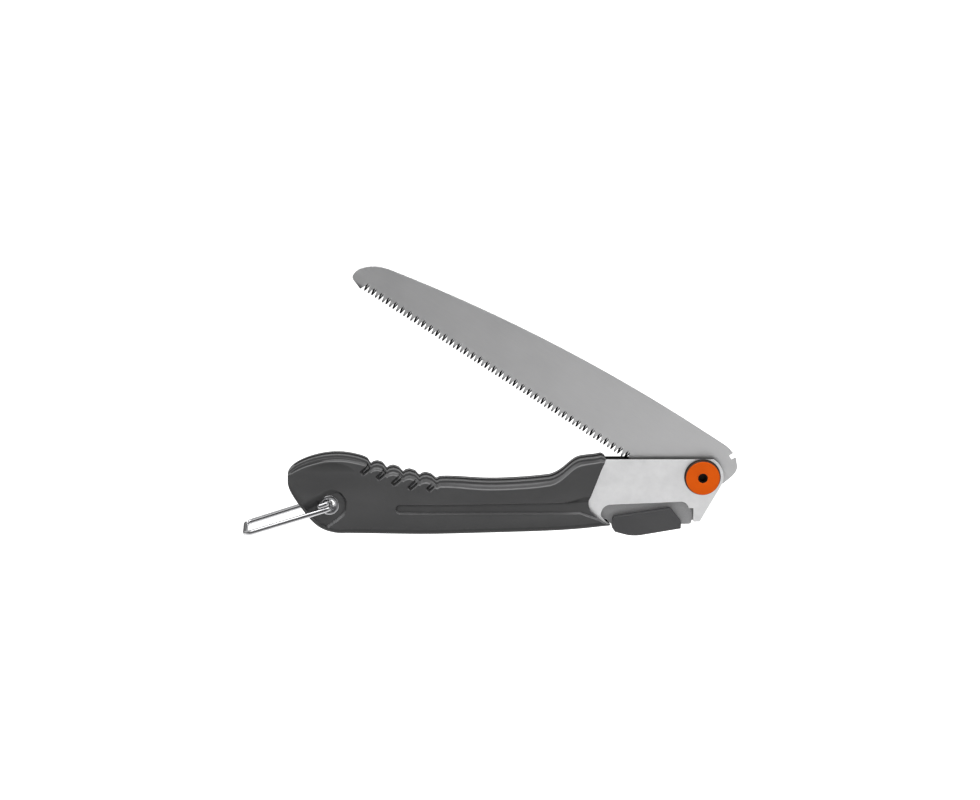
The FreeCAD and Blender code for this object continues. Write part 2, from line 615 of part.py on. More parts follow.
os.makedirs("parts", exist_ok=True)
for name, make in PARTS.items():
    shape = make()
    print(name, "valid" if shape.isValid() else "NOT VALID", len(shape.Solids), round(shape.Volume, 1))
    shape.exportStep("parts/" + name + ".step")
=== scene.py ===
"""Looks of the folding pruning saw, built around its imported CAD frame.

Lengths inside the builders are millimetres in the frame's own axes (+X to the head, +Y away from the
knob side, +Z up); closed_mesh() turns them into metres. Places come from the frame's joints, from the
boxes of its CAD nodes and from rays cast at the CAD handle.
"""
import json
import math
import bmesh
import bpy
import numpy as np
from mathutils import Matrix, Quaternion, Vector
from mathutils.bvhtree import BVHTree
from mathutils.geometry import tessellate_polygon

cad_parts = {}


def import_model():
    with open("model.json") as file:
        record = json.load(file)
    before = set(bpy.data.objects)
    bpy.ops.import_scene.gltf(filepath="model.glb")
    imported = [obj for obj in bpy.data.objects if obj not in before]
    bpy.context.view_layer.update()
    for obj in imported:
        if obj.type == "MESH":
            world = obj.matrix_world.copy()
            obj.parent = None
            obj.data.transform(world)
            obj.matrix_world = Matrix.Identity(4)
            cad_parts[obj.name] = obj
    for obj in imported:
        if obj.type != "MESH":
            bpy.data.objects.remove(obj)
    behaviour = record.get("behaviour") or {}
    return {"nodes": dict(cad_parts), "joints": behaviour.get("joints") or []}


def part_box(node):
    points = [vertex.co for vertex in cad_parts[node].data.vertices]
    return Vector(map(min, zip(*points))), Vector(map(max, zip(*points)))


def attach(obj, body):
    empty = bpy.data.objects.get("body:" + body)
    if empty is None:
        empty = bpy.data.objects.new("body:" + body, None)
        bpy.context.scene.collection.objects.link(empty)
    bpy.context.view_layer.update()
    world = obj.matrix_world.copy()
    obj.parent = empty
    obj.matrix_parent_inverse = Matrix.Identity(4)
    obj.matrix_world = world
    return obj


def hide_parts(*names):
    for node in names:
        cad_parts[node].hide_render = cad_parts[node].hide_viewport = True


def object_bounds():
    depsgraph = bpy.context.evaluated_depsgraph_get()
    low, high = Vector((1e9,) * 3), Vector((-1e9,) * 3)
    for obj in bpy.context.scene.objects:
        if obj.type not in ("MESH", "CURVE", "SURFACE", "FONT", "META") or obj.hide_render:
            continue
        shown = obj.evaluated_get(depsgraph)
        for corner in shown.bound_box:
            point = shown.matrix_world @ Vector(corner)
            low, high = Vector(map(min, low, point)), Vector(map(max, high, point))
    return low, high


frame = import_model()
cad_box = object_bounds()

MM = 0.001
SIDES = {"near": -1, "far": 1}


# ---- measuring the frame ----
def box_mm(node):
    """Lowest and highest corner of a CAD node, in millimetres."""
    low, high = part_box(node)
    return np.array(low) / MM, np.array(high) / MM


def joint_place(name):
    """The (x, z) of a hinge, in millimetres."""
    joint = next(j for j in frame["joints"] if j["name"] == name)
    return joint["pos_m"][0] / MM, joint["pos_m"][2] / MM


def cad_tree(node):
    return BVHTree.FromObject(frame["nodes"][node], bpy.context.evaluated_depsgraph_get())


def hit(tree, origin, direction, axis):
    """Coordinate on one axis, in millimetres, of the first surface a ray meets."""
    found = tree.ray_cast(Vector(origin) * MM, Vector(direction))[0]
    return None if found is None else found[axis] / MM


def smoothed(values, width):
    """Running weighted mean with a bell-shaped weight, width in samples."""
    reach = int(3 * width)
    weight = np.exp(-0.5 * (np.arange(-reach, reach + 1) / width) ** 2)
    before = 2 * values[0] - values[reach:0:-1]
    after = 2 * values[-1] - values[-2:-reach - 2:-1]
    padded = np.concatenate([before, values, after])
    return np.convolve(padded, weight / weight.sum(), mode="valid")


def ramp(value, low, high):
    """0 below low, 1 above high, smooth in between."""
    share = np.clip((value - low) / (high - low), 0.0, 1.0)
    return share * share * (3 - 2 * share)


# ---- making meshes ----
def closed_mesh(name, points, faces):
    """A closed mesh from millimetre points, with all its faces turned outwards."""
    mesh = bpy.data.meshes.new(name)
    mesh.from_pydata([tuple(p) for p in np.asarray(points, float) * MM], [], faces)
    built = bmesh.new()
    built.from_mesh(mesh)
    bmesh.ops.recalc_face_normals(built, faces=built.faces)
    built.to_mesh(mesh)
    built.free()
    return mesh


def piece(name, points, faces, body, material, node, sharp_angle=35):
    """A new mesh, riding on a body and standing for the CAD node it replaces."""
    return dressed(closed_mesh(name, points, faces), body, material, node, sharp_angle)


def welded(mesh):
    """An editable version of a CAD mesh, its doubled points joined."""
    built = bmesh.new()
    built.from_mesh(mesh)
    bmesh.ops.remove_doubles(built, verts=built.verts, dist=0.002 * MM)
    return built


def placed(name, data):
    """A new object in the scene."""
    obj = bpy.data.objects.new(name, data)
    bpy.context.scene.collection.objects.link(obj)
    return obj


def dressed(mesh, body, material, node, sharp_angle):
    """Shading, material and body for a finished mesh; the CAD node it stands for is hidden."""
    obj = placed(mesh.name, mesh)
    mesh.materials.clear()
    mesh.materials.append(material)
    shade(mesh, sharp_angle)
    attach(obj, body)
    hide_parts(node)
    return obj


def shade(mesh, sharp_angle):
    mesh.polygons.foreach_set("use_smooth", [True] * len(mesh.polygons))
    mesh.set_sharp_from_angle(angle=math.radians(sharp_angle))


def smooth_copy(node, name, body, material):
    """A CAD node of round wire with its facets shaded smooth."""
    mesh = frame["nodes"][node].data.copy()
    mesh.name = name
    built = welded(mesh)
    built.to_mesh(mesh)
    built.free()
    return dressed(mesh, body, material, node, 50)


def cad_copy(node, name, body, material, bevel, segments=3):
    """A CAD node rebuilt with clean flat faces and softly rounded edges."""
    mesh = frame["nodes"][node].data.copy()
    mesh.name = name
    built = welded(mesh)
    bmesh.ops.dissolve_limit(built, angle_limit=math.radians(0.4), verts=built.verts, edges=built.edges)
    built.to_mesh(mesh)
    built.free()
    obj = dressed(mesh, body, material, node, 35)
    rounding = obj.modifiers.new("rounding", "BEVEL")
    rounding.width = bevel * MM
    rounding.segments = segments
    rounding.limit_method = "ANGLE"
    rounding.angle_limit = math.radians(38)
    rounding.use_clamp_overlap = True
    rounding.harden_normals = True
    return obj


def lathe(name, profile, centre, material, node):
    """A ring turned about a cross-wise axis from a closed profile of (radius, y) pairs."""
    segments = 128
    points = []
    for index in range(segments):
        turn = 2 * math.pi * index / segments
        points += [(centre[0] + r * math.cos(turn), y, centre[1] + r * math.sin(turn)) for r, y in profile]
    count = len(profile)
    faces = []
    for index in range(segments):
        faces += strip(index * count, (index + 1) % segments * count, count)
    return piece(name, points, faces, "handle", material, node)


def quarter(centre, radius, start, steps):
    """Points on a quarter circle about a centre, from the start angle onwards, both ends included."""
    turns = np.radians(np.linspace(start, start + 90, steps + 1))
    return [(centre[0] + radius * math.cos(t), centre[1] + radius * math.sin(t)) for t in turns]


def strip(first, second, count):
    """Faces between two closed rings of points, each given by the number of its first point."""
    ends = [(k, (k + 1) % count) for k in range(count)]
    return [(first + k, first + after, second + after, second + k) for k, after in ends]


# ---- materials ----
class Nodes:
    """Short way to write a material's node tree."""

    def __init__(self, name):
        self.material = bpy.data.materials.new(name)
        self.material.use_nodes = True
        self.tree = self.material.node_tree
        self.tree.nodes.clear()
        self.shader = self.add("ShaderNodeBsdfPrincipled")
        self.link(self.shader, "BSDF", self.add("ShaderNodeOutputMaterial"), "Surface")
        self.coordinates = self.add("ShaderNodeTexCoord")

    def add(self, kind, **settings):
        node = self.tree.nodes.new(kind)
        for key, value in settings.items():
            setattr(node, key, value)
        return node

    def link(self, source, output, target, entry):
        self.tree.links.new(source.outputs[output], target.inputs[entry])

    def noise(self, per_mm, detail=3.0, stretch=(1, 1, 1), roughness=0.5, turn=0.0):
        """Noise with about this many cells per millimetre, stretched along the frame's axes."""
        mapping = self.add("ShaderNodeMapping", vector_type="TEXTURE")
        mapping.inputs["Scale"].default_value = [1 / s for s in stretch]
        mapping.inputs["Rotation"].default_value = (0, turn, 0)
        texture = self.add("ShaderNodeTexNoise")
        texture.inputs["Scale"].default_value = per_mm / MM
        texture.inputs["Detail"].default_value = detail
        texture.inputs["Roughness"].default_value = roughness
        self.link(self.coordinates, "Object", mapping, "Vector")
        self.link(mapping, "Vector", texture, "Vector")
        return texture.outputs["Fac"]

    def spread(self, value, low=0.0, high=1.0, from_low=0.3, from_high=0.7):
        """Maps a texture's usual range to low..high."""
        node = self.add("ShaderNodeMapRange")
        node.inputs["From Min"].default_value = from_low
        node.inputs["From Max"].default_value = from_high
        node.inputs["To Min"].default_value = low
        node.inputs["To Max"].default_value = high
        self.plug(value, node.inputs["Value"])
        return node.outputs["Result"]

    def component(self, output, direction):
        node = self.add("ShaderNodeVectorMath", operation="DOT_PRODUCT")
        self.link(self.coordinates, output, node, 0)
        node.inputs[1].default_value = direction
        return node.outputs["Value"]

    def distance(self, direction):
        """Distance of the shaded point along a direction, in metres."""
        return self.component("Object", direction)

    def facing(self, direction):
        """The surface normal's component along a direction."""
        return self.component("Normal", direction)

    def nearness(self, value, middle, reach):
        """1 where a value is at the middle, falling to 0 at this reach from it."""
        shifted = self.add("ShaderNodeMath", operation="SUBTRACT")
        self.plug(value, shifted.inputs[0])
        self.plug(middle, shifted.inputs[1])
        return self.spread(self.size_of(shifted.outputs["Value"]), 1.0, 0.0, 0.0, reach)

    def openness(self, reach_mm):
        """1 on open ground, less in grooves and along inner corners."""
        node = self.add("ShaderNodeAmbientOcclusion", samples=6, only_local=True)
        node.inputs["Distance"].default_value = reach_mm * MM
        return node.outputs["AO"]

    def size_of(self, value):
        node = self.add("ShaderNodeMath", operation="ABSOLUTE")
        self.plug(value, node.inputs[0])
        return node.outputs["Value"]

    def mix(self, share, first, second):
        """Colour between first and second; share is a socket or a number."""
        node = self.add("ShaderNodeMix", data_type="RGBA")
        self.plug(share, node.inputs["Factor"])
        self.plug(first, node.inputs[6])
        self.plug(second, node.inputs[7])
        return node.outputs[2]

    def plug(self, value, entry):
        """Connects a socket, or sets a plain number or colour."""
        if hasattr(value, "is_linked"):
            self.tree.links.new(value, entry)
        elif isinstance(value, (int, float)):
            entry.default_value = value
        else:
            entry.default_value = tuple(value) + (1.0,)

    def bump(self, value, distance_mm, strength):
        node = self.add("ShaderNodeBump")
        node.inputs["Strength"].default_value = strength
        node.inputs["Distance"].default_value = distance_mm * MM
        self.plug(value, node.inputs["Height"])
        return node.outputs["Normal"]

    def edges(self, radius_mm):
        """0 on flat ground, rising to 1 on edges: bevelled normal against the true one."""
        bevel = self.add("ShaderNodeBevel", samples=4)
        bevel.inputs["Radius"].default_value = radius_mm * MM
        geometry = self.add("ShaderNodeNewGeometry")
        dot = self.add("ShaderNodeVectorMath", operation="DOT_PRODUCT")
        self.link(bevel, "Normal", dot, 0)
        self.link(geometry, "Normal", dot, 1)
        return self.spread(dot.outputs["Value"], 1.0, 0.0, 0.75, 1.0)

    def finish(self, colour, roughness, metallic=0.0, normal=None, specular=0.5):
        """Fills in the shader and hands over the finished material."""
        self.plug(colour, self.shader.inputs["Base Color"])
        self.plug(roughness, self.shader.inputs["Roughness"])
        self.plug(metallic, self.shader.inputs["Metallic"])
        self.plug(specular, self.shader.inputs["Specular IOR Level"])
        if normal is not None:
            self.plug(normal, self.shader.inputs["Normal"])
        return self.material


def moulded_tone(n, dark, light):
    """Colour of moulded plastic: faint flow marks, edges painted lighter as a highlight."""
    flow = n.noise(0.05, detail=2, stretch=(0.5, 1, 1.2))
    tone = n.mix(n.spread(flow), dark, light)
    # painted highlight: the bevelled edges are mixed towards a lighter tone
    return n.mix(n.edges(0.5), tone, [min(1, 1.5 * c + 0.01) for c in light])


def moulded_finish(n, tone, roughness, grain_mm=0.012, specular=0.4):
    """Closes a plastic with its fine spark-eroded grain."""
    grain = n.noise(2.2, detail=4, roughness=0.6)
    rough = n.spread(grain, roughness - 0.05, roughness + 0.08)
    return n.finish(tone, rough, normal=n.bump(grain, grain_mm, 0.5), specular=specular)


def moulded_plastic(name, dark, light, roughness, grain_mm=0.012, specular=0.4):
    n = Nodes(name)
    return moulded_finish(n, moulded_tone(n, dark, light), roughness, grain_mm, specular)


def grip_plastic(name, dark, light, roughness):
    """The handle's plastic: painted highlight where it leans up, painted shade where it leans down and in
    grooves.
    """
    n = Nodes(name)
    tone = moulded_tone(n, dark, light)
    lean = n.facing((0, 0, 1))
    # painted highlight on faces that lean about halfway up
    tone = n.mix(n.nearness(lean, 0.6, 0.4), tone, [3.2 * c for c in light])
    # painted shade on faces that lean down
    tone = n.mix(n.spread(lean, 0.75, 0.0, -0.2, -0.02), tone, [0.25 * c for c in dark])
    # painted shade in grooves and inner corners, from ambient occlusion
    tone = n.mix(n.spread(n.openness(1.6), 0.8, 0.0, 0.4, 0.9), tone, [0.1 * c for c in dark])
    return moulded_finish(n, tone, roughness)


def blade_steel(along, down, tooth_line):
    """Ground steel: streaks along the blade, painted darker towards the toe as a fall-off of reflected
    light, edges painted lighter as a highlight, tooth points blackened by hardening.
    """
    n = Nodes("blade_steel")
    heading = math.atan2(-along[1], along[0])
    streaks = n.noise(3.0, detail=2, stretch=(0.04, 1, 1), turn=heading)
    clouds = n.noise(0.05)
    out = n.distance((along[0], 0, along[1]))
    # painted reflection: lighter at the heel, darker towards the toe
    tone = n.mix(n.spread(out, 0.0, 1.0, 0.0, BLADE_LENGTH * MM), BLADE_HEEL_TONE, BLADE_TOE_TONE)
    tone = n.mix(n.spread(clouds, 0.0, 0.06), tone, [0.9, 0.9, 0.9])
    tone = n.mix(n.spread(streaks, 0.0, 0.05), tone, [1.0, 1.0, 1.0])
    # painted highlight along the bevelled edges
    tone = n.mix(n.edges(0.3), tone, [0.8, 0.8, 0.8])
    depth = n.distance((down[0], 0, down[1]))
    hardened = n.spread(depth, 0.0, 0.9, (tooth_line - 2.6) * MM, (tooth_line - 0.6) * MM)
    tone = n.mix(hardened, tone, TOOTH_TONE)
    rough = n.spread(clouds, 0.38, 0.46)
    return n.finish(tone, rough, metallic=1.0, normal=n.bump(streaks, 0.003, 0.3))


def plate_steel():
    """Stainless plate: cloudy satin faces; bevels painted bright as a highlight, edge faces and inner faces
    painted dark as shade.
    """
    n = Nodes("plate_steel")
    grain = n.noise(1.4, stretch=(0.3, 1, 1))
    clouds = n.noise(0.10, detail=4, roughness=0.6)
    tone = n.mix(n.spread(clouds), PLATE_TONES[0], PLATE_TONES[1])
    # painted highlight on the bevelled edges
    tone = n.mix(n.edges(0.5), tone, [0.97, 0.97, 0.97])
    # painted shade on the inner faces, in the gap between the two plates
    inner = n.spread(n.size_of(n.distance((0, 1, 0))), 1.0, 0.0, PLATE_INNER * MM, (PLATE_INNER + 0.5) * MM)
    tone = n.mix(inner, tone, [0.03, 0.03, 0.03])
    # painted shade on the edge faces, whose normals lie across the plate
    tone = n.mix(n.spread(n.size_of(n.facing((0, 1, 0))), 1.0, 0.0, 0.15, 0.45), tone, [0.05, 0.05, 0.05])
    return n.finish(tone, n.spread(clouds, 0.34, 0.44), metallic=1.0, normal=n.bump(grain, 0.004, 0.3))


def cast_metal(name, dark, light, roughness):
    """Fine sintered or cast steel: grainy, half matt, with edges painted lighter as a highlight."""
    n = Nodes(name)
    pits = n.noise(1.6, detail=6, roughness=0.7)
    tone = n.mix(n.spread(pits), dark, light)
    # painted highlight along the bevelled edges
    tone = n.mix(n.edges(0.9), tone, [0.85, 0.85, 0.86])
    return n.finish(tone, n.spread(pits, roughness - 0.06, roughness + 0.08), metallic=0.75,
                    normal=n.bump(pits, 0.03, 0.5))


def chrome(name):
    """Bright plating with finger haze; painted reflection darkens it where it is seen square on and at its
    grazing rim.
    """
    n = Nodes(name)
    haze = n.noise(0.35)
    tone = n.mix(n.spread(haze), [0.80, 0.80, 0.82], [0.92, 0.92, 0.93])
    facing = n.add("ShaderNodeLayerWeight")
    facing.inputs["Blend"].default_value = 0.5
    # painted reflection: dark where the surface faces the camera
    square = n.spread(facing.outputs["Facing"], 0.9, 0.0, 0.06, 0.3)
    tone = n.mix(square, tone, [0.10, 0.10, 0.105])
    # painted reflection: darker again towards the grazing rim
    tone = n.mix(n.spread(facing.outputs["Facing"], 0.0, 0.75, 0.72, 0.92), tone, [0.28, 0.28, 0.285])
    return n.finish(tone, n.spread(haze, 0.08, 0.16), metallic=1.0, normal=n.bump(haze, 0.01, 0.2))


def plated_steel(name, tone, roughness):
    """Small plated or blackened fasteners, their edges painted lighter as a highlight."""
    n = Nodes(name)
    grain = n.noise(1.2, detail=4)
    colour = n.mix(n.spread(grain), [0.85 * c for c in tone], [min(1, 1.15 * c) for c in tone])
    # painted highlight along the bevelled edges
    colour = n.mix(n.edges(0.3), colour, [min(1, 1.8 * c + 0.02) for c in tone])
    return n.finish(colour, n.spread(grain, roughness - 0.05, roughness + 0.07), metallic=1.0,
                    normal=n.bump(grain, 0.01, 0.4))


HANDLE_PLASTIC = grip_plastic("handle_plastic", [0.052, 0.052, 0.053], [0.066, 0.066, 0.067], 0.40)
BUTTON_PLASTIC = moulded_plastic("button_plastic", [0.056, 0.056, 0.058], [0.07, 0.07, 0.072], 0.5)
ORANGE_PLASTIC = moulded_plastic("orange_plastic", [0.72, 0.095, 0.001], [0.80, 0.112, 0.0015], 0.45,
                                 0.006, 0.1)
# painted shade: a dark brown copy of the orange plastic for the knob's side wall and key hole wall
KNOB_WALL = moulded_plastic("knob_wall", [0.05, 0.018, 0.006], [0.08, 0.028, 0.008], 0.5, 0.006, 0.25)
BLACK_WASHER = moulded_plastic("black_washer", [0.012, 0.012, 0.012], [0.02, 0.02, 0.021], 0.4, 0.006)
BLADE_LENGTH = 210
# ends of the blade's painted fall-off of reflected light, heel and toe
BLADE_HEEL_TONE = [0.61, 0.61, 0.615]
BLADE_TOE_TONE = [0.41, 0.41, 0.415]
TOOTH_TONE = [0.03, 0.03, 0.032]
PLATE_TONES = ([0.80, 0.80, 0.805], [0.92, 0.92, 0.925])
PLATE_INNER = 2.2  # inner faces of the two head plates, measured from the middle plane
PLATE_STEEL = plate_steel()
LEVER_METAL = cast_metal("lever_metal", [0.33, 0.33, 0.335], [0.43, 0.43, 0.435], 0.5)
CHROME = chrome("chrome_plate")
PLAIN_STEEL = plated_steel("plain_steel", [0.55, 0.55, 0.56], 0.3)
DARK_SCREW = plated_steel("dark_screw", [0.09, 0.09, 0.092], 0.35)
BLACK_BOLT = plated_steel("black_bolt", [0.02, 0.014, 0.011], 0.45)
WASHER_BRONZE = plated_steel("washer_bronze", [0.5, 0.33, 0.15], 0.32)
SPRING_STEEL = plated_steel("spring_steel", [0.45, 0.45, 0.46], 0.25)
TOOTH_STEEL = plated_steel("tooth_steel", TOOTH_TONE, 0.4)


# ---- handle shells ----
LIP_OUTER = 5.6  # outer edge of the raised lip beside the slot, from the seam plane
LIP_SHARE = 0.7  # but no further out than this share of the handle's half-width
LIP_ROUND = 0.5  # rounding of the lip's outer top edge
LIP_CHAMFER = 0.25  # chamfer of its inner top edge
LIP_FILLET = 0.35  # rounding where it meets the shelf
CHANNEL_HALF = 2.45  # half the width of the slot that takes the blade
STEP_HEIGHT = 1.8  # the lip stands this far above the shelf beside it
RIDGE_ROUND = 1.2  # rounding between shelf and side
BOTTOM_ROUND = 3.2
CROWN = 0.35  # the side bulges this much between its edges
SEAM = 0.25  # chamfer at the joint between the two shells
WARP_LENGTH = 32.0  # the last stretch of the handle follows the V-shaped front
HEEL_ROUND = 7.0  # length over which the heel's end is rounded off
HEEL_START = 0.35  # the first cross-section lies this far inside the heel's end
FRONT_ROUND = 0.7  # rounding of the V front's outer edge
FRONT_SHARE = 0.96  # it starts at this share of the way to the front
FRONT_GUESS = -60  # first guess of the front's place, before it is followed in a few passes
COARSE_STEP = 0.5  # distance of cross-sections at the heel,
FINE_STEP = 0.25  # at the grip slots and towards the V front,
WAIST_STEP = 0.6  # and between them
SLOT_MARGIN = 5.0  # the fine stretch starts and ends this far from the outer slots
FULL_HEIGHT = 16.0  # where the handle is lower than this, its roundings shrink with it
SIDE_FIRST = 14  # place, in a section's list of points, of the lowest point on its side
SIDE_POINTS = 91  # points up the side of a section
SIDE_RUNS = (12, 4, 12, 4, 58)  # steps below the band, its lower edge, in it, its upper edge, above it
RIDGE_STEPS = 6  # steps round the ridge between side and shelf
SHELF_STEPS = 7  # steps across the shelf
SHELF_CURVE = 2.2  # the shelf is flat by the ridge and steep by the lip
FALL_PLACES = (0, 7, 13, 25, 38, 46, 85, 105, 140, 170)  # from the handle's left end
FALL_DEPTHS = (0.8, 1.3, 1.5, 1.2, 1.1, 0.8, 0.8, 1.3, 1.3, 0.4)  # how far the shelf drops outwards
EYELET_HOLE = 3.95  # radius of the hole that the eyelet sits in
SCREW_RECESS = 3.1  # radius of the recess for each screw head
SCREW_HEAD = 2.0  # height of a screw head, which rests on the recess's floor
OUTSIDE = 20  # clear of the saw on either side, for cutting tools
RECESS_RADIUS = 9.8  # scoop round the hanging eyelet
RECESS_FLOOR = 5.0  # its floor, measured from the seam plane
SCOOP_AHEAD = (-0.80, -0.60)  # the scoop runs out of the heel in this (x, z) direction
SCOOP_EDGE = (0.9, 7.0)  # width of its edge, and how much wider the edge is at its upper left
GRIP_SLOTS = ((21.0, 5.3), (29.7, 2.6), (38.1, -0.6), (47.3, -2.9), (57.8, -3.5))  # x from the eyelet, z
SLOT_HALF = (4.0, 1.6)  # half-length and half-width of each slot
SLOT_CORNER = 1.2
SLOT_TURN = math.radians(41)
SLOT_DEPTH = 1.5
SLOT_RIB = (2.7, 0.45, 0.9)  # half-length, half-width and height of the rib in the middle of each slot
BAND_LEFT = 37.2  # left end of the shallow band, measured from the eyelet
BAND_LOWER = -19.3  # height of its lower edge
BAND_UPPER = (-15.0, -13.4)  # height of its upper edge at the left end and at the V front
BAND_LEVEL = -14.0  # its length is measured at this height
BAND_DEPTH = 1.4
BAND_CORNER = 2.4  # rounding of its left end
BAND_FADE = 0.86  # its upper edge softens past this share of its length
BAND_TURN = 5.0  # its lower edge turns down this far before the V front
BAND_SLOPE = 0.4  # and falls this steeply from there
DISH_PLACE = (-3.0, 1.4)  # middle of the hollow in the heel: x from the eyelet, z
DISH_DEPTH = 1.3
DISH_HALF = (19.0, 8.5)  # half its length, and its reach upwards
DISH_FOOT = 13.0  # its reach downwards, where it runs out softly


# Places for the rays that measure the CAD shell: first where they run, then where they start.
SOLID_Y = -4.7  # through the solid wall beside the slot
ROOF_Y = -3.2  # through the room that holds the head plates
FLOOR_Y = -1.2  # through the slot
SIDE_LEVEL = 4.5  # below the top, for the half-thickness
ABOVE, BELOW, AHEAD, ASIDE = 60, -80, 20, -40
IN_ROOM = -15  # a height inside the plates' room
RAY_STEP = 0.1
OUTLINE_BLUR = 3  # blur of the measured lines, in ray steps
SIDE_BLUR = 25
ROOM_BLUR = 1
TIP_MARGIN = 2.0  # the V front's own rounding starts this far behind the shell's tip


class HandleForm:
    """The handle's outline, thickness and inner rooms, read from the CAD shell by rays."""

    def __init__(self):
        tree = cad_tree("handle_shell_near")
        low, high = box_mm("handle_shell_near")
        plate_low = box_mm("side_plate_near")[0]
        self.left = low[0]
        self.plate_start = plate_low[0]
        self.plate_side = -plate_low[1]
        self.start = high[0] - TIP_MARGIN - WARP_LENGTH
        self.xs = np.arange(low[0] + 0.05, high[0] - 0.1, RAY_STEP)
        heights = np.arange(low[2] + 4.3, high[2] - 1.6, RAY_STEP)
        front = [(z, hit(tree, (AHEAD, SOLID_Y, z), (-1, 0, 0), 0)) for z in heights]
        self.front_line = self.line([p for p in front if p[1] is not None], OUTLINE_BLUR)
        crest = [p for p in self.rays(tree, SOLID_Y, ABOVE, -1) if p[0] < high[0] - 3]
        self.top_line = self.line(crest, OUTLINE_BLUR)
        self.bottom_line = self.line(self.rays(tree, SOLID_Y, BELOW, 1), OUTLINE_BLUR)
        levels = [self.at(self.top_line, x) - SIDE_LEVEL for x in self.xs]
        sides = [(x, hit(tree, (x, ASIDE, z), (0, 1, 0), 1)) for x, z in zip(self.xs, levels)]
        widths = [(x, -y) for x, y in sides if y is not None and x < high[0] - 4]
        self.side_line = self.line(widths, SIDE_BLUR)
        roof = [p for p in self.rays(tree, ROOF_Y, IN_ROOM, 1) if p[0] > self.plate_start]
        self.roof_line = self.line(roof, ROOM_BLUR)
        ground = [p for p in self.rays(tree, FLOOR_Y, ABOVE, -1) if p[0] < high[0] - 4]
        self.floor_line = self.line(ground, ROOM_BLUR)

    def rays(self, tree, y, start, sign):
        """(x, height) pairs where upright rays from a start height meet the shell."""
        found = [(x, hit(tree, (x, y, start), (0, 0, sign), 2)) for x in self.xs]
        return [p for p in found if p[1] is not None]

    def line(self, pairs, width):
        """The pairs as two arrays, the second one blurred."""
        places = np.array([p[0] for p in pairs])
        return places, smoothed(np.array([p[1] for p in pairs]), width)

    def at(self, line, x):
        return float(np.interp(x, *line))

    def front(self, z):
        return np.interp(z, *self.front_line)


def band_edges(form, x):
    """Heights of the shallow band's lower and upper edge at a place along the handle."""
    left = joint_place("loop_swing")[0] + BAND_LEFT
    right = form.front(BAND_LEVEL)
    upper = BAND_UPPER[0] + (BAND_UPPER[1] - BAND_UPPER[0]) * (x - left) / (right - left)
    lower = BAND_LOWER - BAND_SLOPE * np.clip(x - right + BAND_TURN, 0, None)
    return lower, upper


def side_points(form, x, side, low, high):
    """Points up the side between two heights, on a slight bulge, close together at the band's edges."""
    lower, upper = [(z - low) / (high - low) for z in band_edges(form, x)]
    lower = min(max(lower, 0.12), 0.5)
    upper = min(max(upper, lower + 0.1), 0.65)
    knots = (0, lower - 0.02, lower + 0.02, upper - 0.015, upper + 0.015, 1)
    shares = np.interp(np.arange(SIDE_POINTS), np.cumsum((0,) + SIDE_RUNS), knots)
    heights = (low + (high - low) * shares)[1:-1]
    bulge = 1 - np.abs(2 * (heights - low) / (high - low) - 1) ** 3
    return [(side + CROWN * b, z) for b, z in zip(bulge, heights)]


def inner_points(form, x, inner, top):
    """Points down the slot's wall, or down the room of the head plates, and in to the seam."""
    if x > form.plate_start:
        roof = min(form.at(form.roof_line, x), top - 0.4)
        base = float(form.floor_line[1][-1])
        wide = form.plate_side
    else:
        base = min(form.at(form.floor_line, x), top - 0.3)
        roof = base + 0.01
        wide = inner + 0.01
    return [(inner, roof)] + [(wide, z) for z in np.linspace(roof, base, SIDE_POINTS)] + [(0, base)]


def shell_section(form, x):
    """(distance from the seam plane, height) pairs round one cross-section, seam to seam.

    They run along the bottom, up the side, over the ridge and the shelf, over the lip and down the slot.
    """
    top, bottom = form.at(form.top_line, x), form.at(form.bottom_line, x)
    scale = min(1.0, (top - bottom) / FULL_HEIGHT)
    heel = min(1.0, max(0.03, (x - form.left) / HEEL_ROUND))
    side = form.at(form.side_line, x) * (0.6 + 0.4 * math.sqrt(1 - (1 - heel) ** 2)) - CROWN
    lip = min(LIP_OUTER, LIP_SHARE * side)
    inner = min(CHANNEL_HALF, lip - 0.8)
    seam = SEAM * scale
    corner = min(BOTTOM_ROUND, 0.45 * side) * scale
    ridge_round = min(RIDGE_ROUND, 0.6 * (side - lip)) * scale
    fillet = LIP_FILLET * scale
    lip_round = LIP_ROUND * scale
    fall = float(np.interp(x - form.left, FALL_PLACES, FALL_DEPTHS)) * scale
    ridge = top - STEP_HEIGHT * scale - fall
    pairs = [(0, bottom + seam)]
    pairs += [(y, bottom) for y in np.linspace(seam, side - corner, 6)[:-1]]
    pairs += quarter((side - corner, bottom + corner), corner, -90, 8)
    pairs += side_points(form, x, side, bottom + corner, ridge - ridge_round)
    pairs += quarter((side - ridge_round, ridge - ridge_round), ridge_round, 0, RIDGE_STEPS - 1)
    shelf_in = ridge + fall
    shelf_out = side - ridge_round
    pairs += [(shelf_out + (lip + fillet - shelf_out) * t, ridge + fall * t ** SHELF_CURVE)
              for t in np.linspace(0, 1, SHELF_STEPS + 1)[1:]]
    pairs += [(lip + 0.3 * fillet, shelf_in + 0.3 * fillet), (lip, shelf_in + fillet)]
    pairs += quarter((lip - lip_round, top - lip_round), lip_round, 0, 4)
    pairs += [(inner + LIP_CHAMFER, top), (inner, top - LIP_CHAMFER)]
    return np.array(pairs + inner_points(form, x, inner, top))


def rounded_box(along, across, half_long, half_wide, corner):
    """Signed distance to a rectangle with round corners, negative inside."""
    a = np.abs(along) - half_long + corner
    b = np.abs(across) - half_wide + corner
    outside = np.hypot(np.maximum(a, 0), np.maximum(b, 0))
    return outside + np.minimum(np.maximum(a, b), 0) - corner


def span(middle):
    """The two ends of a short transition about a middle."""
    return middle - 0.2, middle + 0.2


